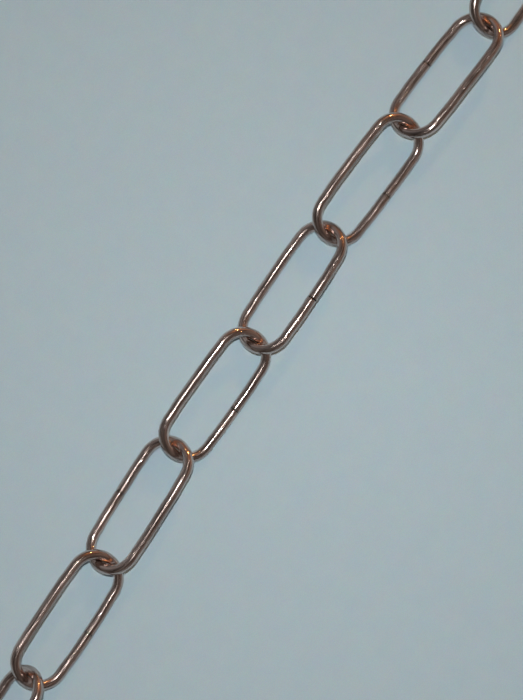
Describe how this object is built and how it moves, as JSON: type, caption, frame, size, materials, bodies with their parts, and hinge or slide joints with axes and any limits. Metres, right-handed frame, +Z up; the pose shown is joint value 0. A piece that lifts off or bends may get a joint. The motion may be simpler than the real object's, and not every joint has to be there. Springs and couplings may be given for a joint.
{
  "type": "long-link steel wire chain",
  "caption": "Cut length of bright round-wire chain with long, narrow, unwelded links, laid out almost straight; each link swings on the bow of the next.",
  "frame": {"origin": "centre of the chain's footprint, on the floor that it lies on", "axes": "+X along the chain from its first link to its last, +Z up, +Y to the left of +X"},
  "size_m": [0.48, 0.0246, 0.0146],
  "materials": {
    "bright_steel_wire": "bright drawn wire, smooth and shiny, with fine draw lines and light scratches"
  },
  "bodies": {
    "link_01": {"link_01": "bright_steel_wire"},
    "link_02": {"link_02": "bright_steel_wire"},
    "link_03": {"link_03": "bright_steel_wire"},
    "link_04": {"link_04": "bright_steel_wire"},
    "link_05": {"link_05": "bright_steel_wire"},
    "link_06": {"link_06": "bright_steel_wire"},
    "link_07": {"link_07": "bright_steel_wire"},
    "link_08": {"link_08": "bright_steel_wire"},
    "link_09": {"link_09": "bright_steel_wire"},
    "link_10": {"link_10": "bright_steel_wire"},
    "link_11": {"link_11": "bright_steel_wire"},
    "link_12": {"link_12": "bright_steel_wire"}
  },
  "joints": [
    {"name": "swing_02", "type": "hinge", "parent": "link_01", "child": "link_02", "pos_m": [-0.19554, -0.00369, 0.00512], "axis": [0.0156, -0.8829, 0.4692], "range_deg": [-90, 90]},
    {"name": "swing_03", "type": "hinge", "parent": "link_02", "child": "link_03", "pos_m": [-0.15605, -0.00243, 0.00691], "axis": [-0.0675, 0.8812, 0.4678], "range_deg": [-90, 90]},
    {"name": "swing_04", "type": "hinge", "parent": "link_03", "child": "link_04", "pos_m": [-0.11662, 0.00084, 0.00703], "axis": [-0.0982, 0.6884, -0.7186], "range_deg": [-90, 90]},
    {"name": "swing_05", "type": "hinge", "parent": "link_04", "child": "link_05", "pos_m": [-0.07718, 0.00215, 0.00512], "axis": [0.0712, -0.8793, -0.471], "range_deg": [-90, 90]},
    {"name": "swing_06", "type": "hinge", "parent": "link_05", "child": "link_06", "pos_m": [-0.03771, 0.00395, 0.00536], "axis": [0.0104, -0.883, 0.4692], "range_deg": [-90, 90]},
    {"name": "swing_07", "type": "hinge", "parent": "link_06", "child": "link_07", "pos_m": [0.00141, 0.00289, 0.005], "axis": [0.0699, 0.8807, 0.4686], "range_deg": [-90, 90]},
    {"name": "swing_08", "type": "hinge", "parent": "link_07", "child": "link_08", "pos_m": [0.04098, 0.00366, 0.00517], "axis": [-0.0351, 0.8823, -0.4694], "range_deg": [-90, 90]},
    {"name": "swing_09", "type": "hinge", "parent": "link_08", "child": "link_09", "pos_m": [0.08052, 0.00259, 0.00539], "axis": [0.0132, -0.8831, -0.4691], "range_deg": [-90, 90]},
    {"name": "swing_10", "type": "hinge", "parent": "link_09", "child": "link_10", "pos_m": [0.12006, 0.00059, 0.00536], "axis": [-0.0731, -0.88, 0.4692], "range_deg": [-90, 90]},
    {"name": "swing_11", "type": "hinge", "parent": "link_10", "child": "link_11", "pos_m": [0.15957, 0.00196, 0.00537], "axis": [-0.0578, 0.8812, 0.4692], "range_deg": [-90, 90]},
    {"name": "swing_12", "type": "hinge", "parent": "link_11", "child": "link_12", "pos_m": [0.19895, 0.00144, 0.00532], "axis": [0.0307, 0.8825, -0.4693], "range_deg": [-90, 90]}
  ]
}
